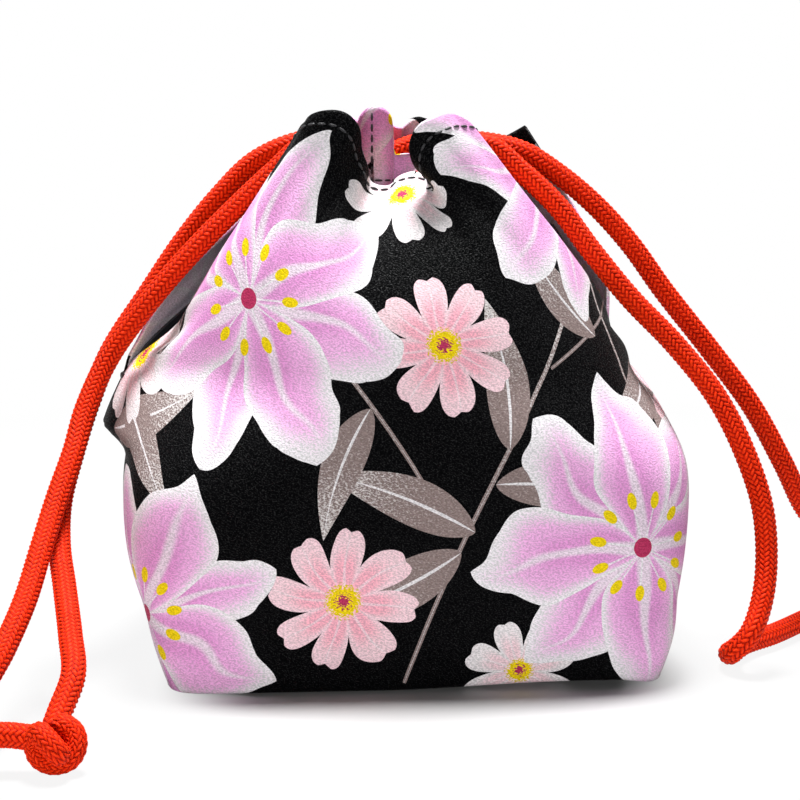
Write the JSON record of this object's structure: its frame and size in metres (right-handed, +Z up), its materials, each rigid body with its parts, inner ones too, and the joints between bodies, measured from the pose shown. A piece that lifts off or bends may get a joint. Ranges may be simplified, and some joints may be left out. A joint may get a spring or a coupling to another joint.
{
  "type": "drawstring lunch bag",
  "caption": "Lined cloth bag with a boxed base, side slits and a gathered mouth, closed by knotted braided drawcords; holds a lunch box.",
  "frame": {"origin": "on the table under the middle of the base", "axes": "+Z up, +X to the right across the front, the front faces -Y"},
  "size_m": [0.2928, 0.184, 0.1705],
  "materials": {
    "outer_cloth": "pebbled crepe with a large floral print",
    "lining": "plain weave",
    "braid": "thick tubular herringbone braid",
    "thread": "sewing thread"
  },
  "bodies": {
    "bag_body": {"outer_front_panel": "outer_cloth", "outer_back_panel": "outer_cloth", "front_panel_lining": "lining", "back_panel_lining": "lining", "left_slit_bartack": "thread", "right_slit_bartack": "thread", "left_cord_front_strand": "braid", "left_cord_front_tail": "braid", "left_cord_back_strand": "braid", "left_cord_back_tail": "braid", "right_cord_front_strand": "braid", "right_cord_front_tail": "braid", "right_cord_back_strand": "braid", "right_cord_back_tail": "braid", "left_cord_bight": "braid", "right_cord_bight": "braid"},
    "front_flap": {"front_mouth_flap": "outer_cloth", "front_flap_lining": "lining", "front_casing_facing": "lining", "front_rim_stitch": "thread", "front_casing_stitch": "thread", "left_cord_front_run": "braid", "right_cord_front_run": "braid"},
    "back_flap": {"back_mouth_flap": "outer_cloth", "back_flap_lining": "lining", "back_casing_facing": "lining", "back_rim_stitch": "thread", "back_casing_stitch": "thread", "left_cord_back_run": "braid", "right_cord_back_run": "braid"},
    "left_knot": {"left_pull_knot": "braid"},
    "right_knot": {"right_pull_knot": "braid"}
  },
  "joints": [
    {"name": "front_flap_open", "type": "hinge", "parent": "bag_body", "child": "front_flap", "pos_m": [0, -0.0553, 0.0942], "axis": [1, 0, 0], "range_deg": [0, 35], "deforming": ["left_cord_front_strand", "left_cord_front_tail", "right_cord_front_strand", "right_cord_front_tail", "left_cord_bight", "right_cord_bight"]},
    {"name": "back_flap_open", "type": "hinge", "parent": "bag_body", "child": "back_flap", "pos_m": [0, 0.0553, 0.0942], "axis": [-1, 0, 0], "range_deg": [0, 35], "deforming": ["left_cord_back_strand", "left_cord_back_tail", "right_cord_back_strand", "right_cord_back_tail"]},
    {"name": "left_cord_draw", "type": "slide", "parent": "bag_body", "child": "left_knot", "axis": [0, 1, 0], "range_m": [0, 0.03]},
    {"name": "right_cord_draw", "type": "slide", "parent": "bag_body", "child": "right_knot", "axis": [-0.8449, -0.5349, 0], "range_m": [0, 0.03]}
  ],
  "couplings": [
    {"joint": "back_flap_open", "follows": "front_flap_open", "ratio": 1},
    {"joint": "left_cord_draw", "follows": "front_flap_open", "m_per_rad": 0.049111},
    {"joint": "right_cord_draw", "follows": "front_flap_open", "m_per_rad": 0.049111}
  ]
}
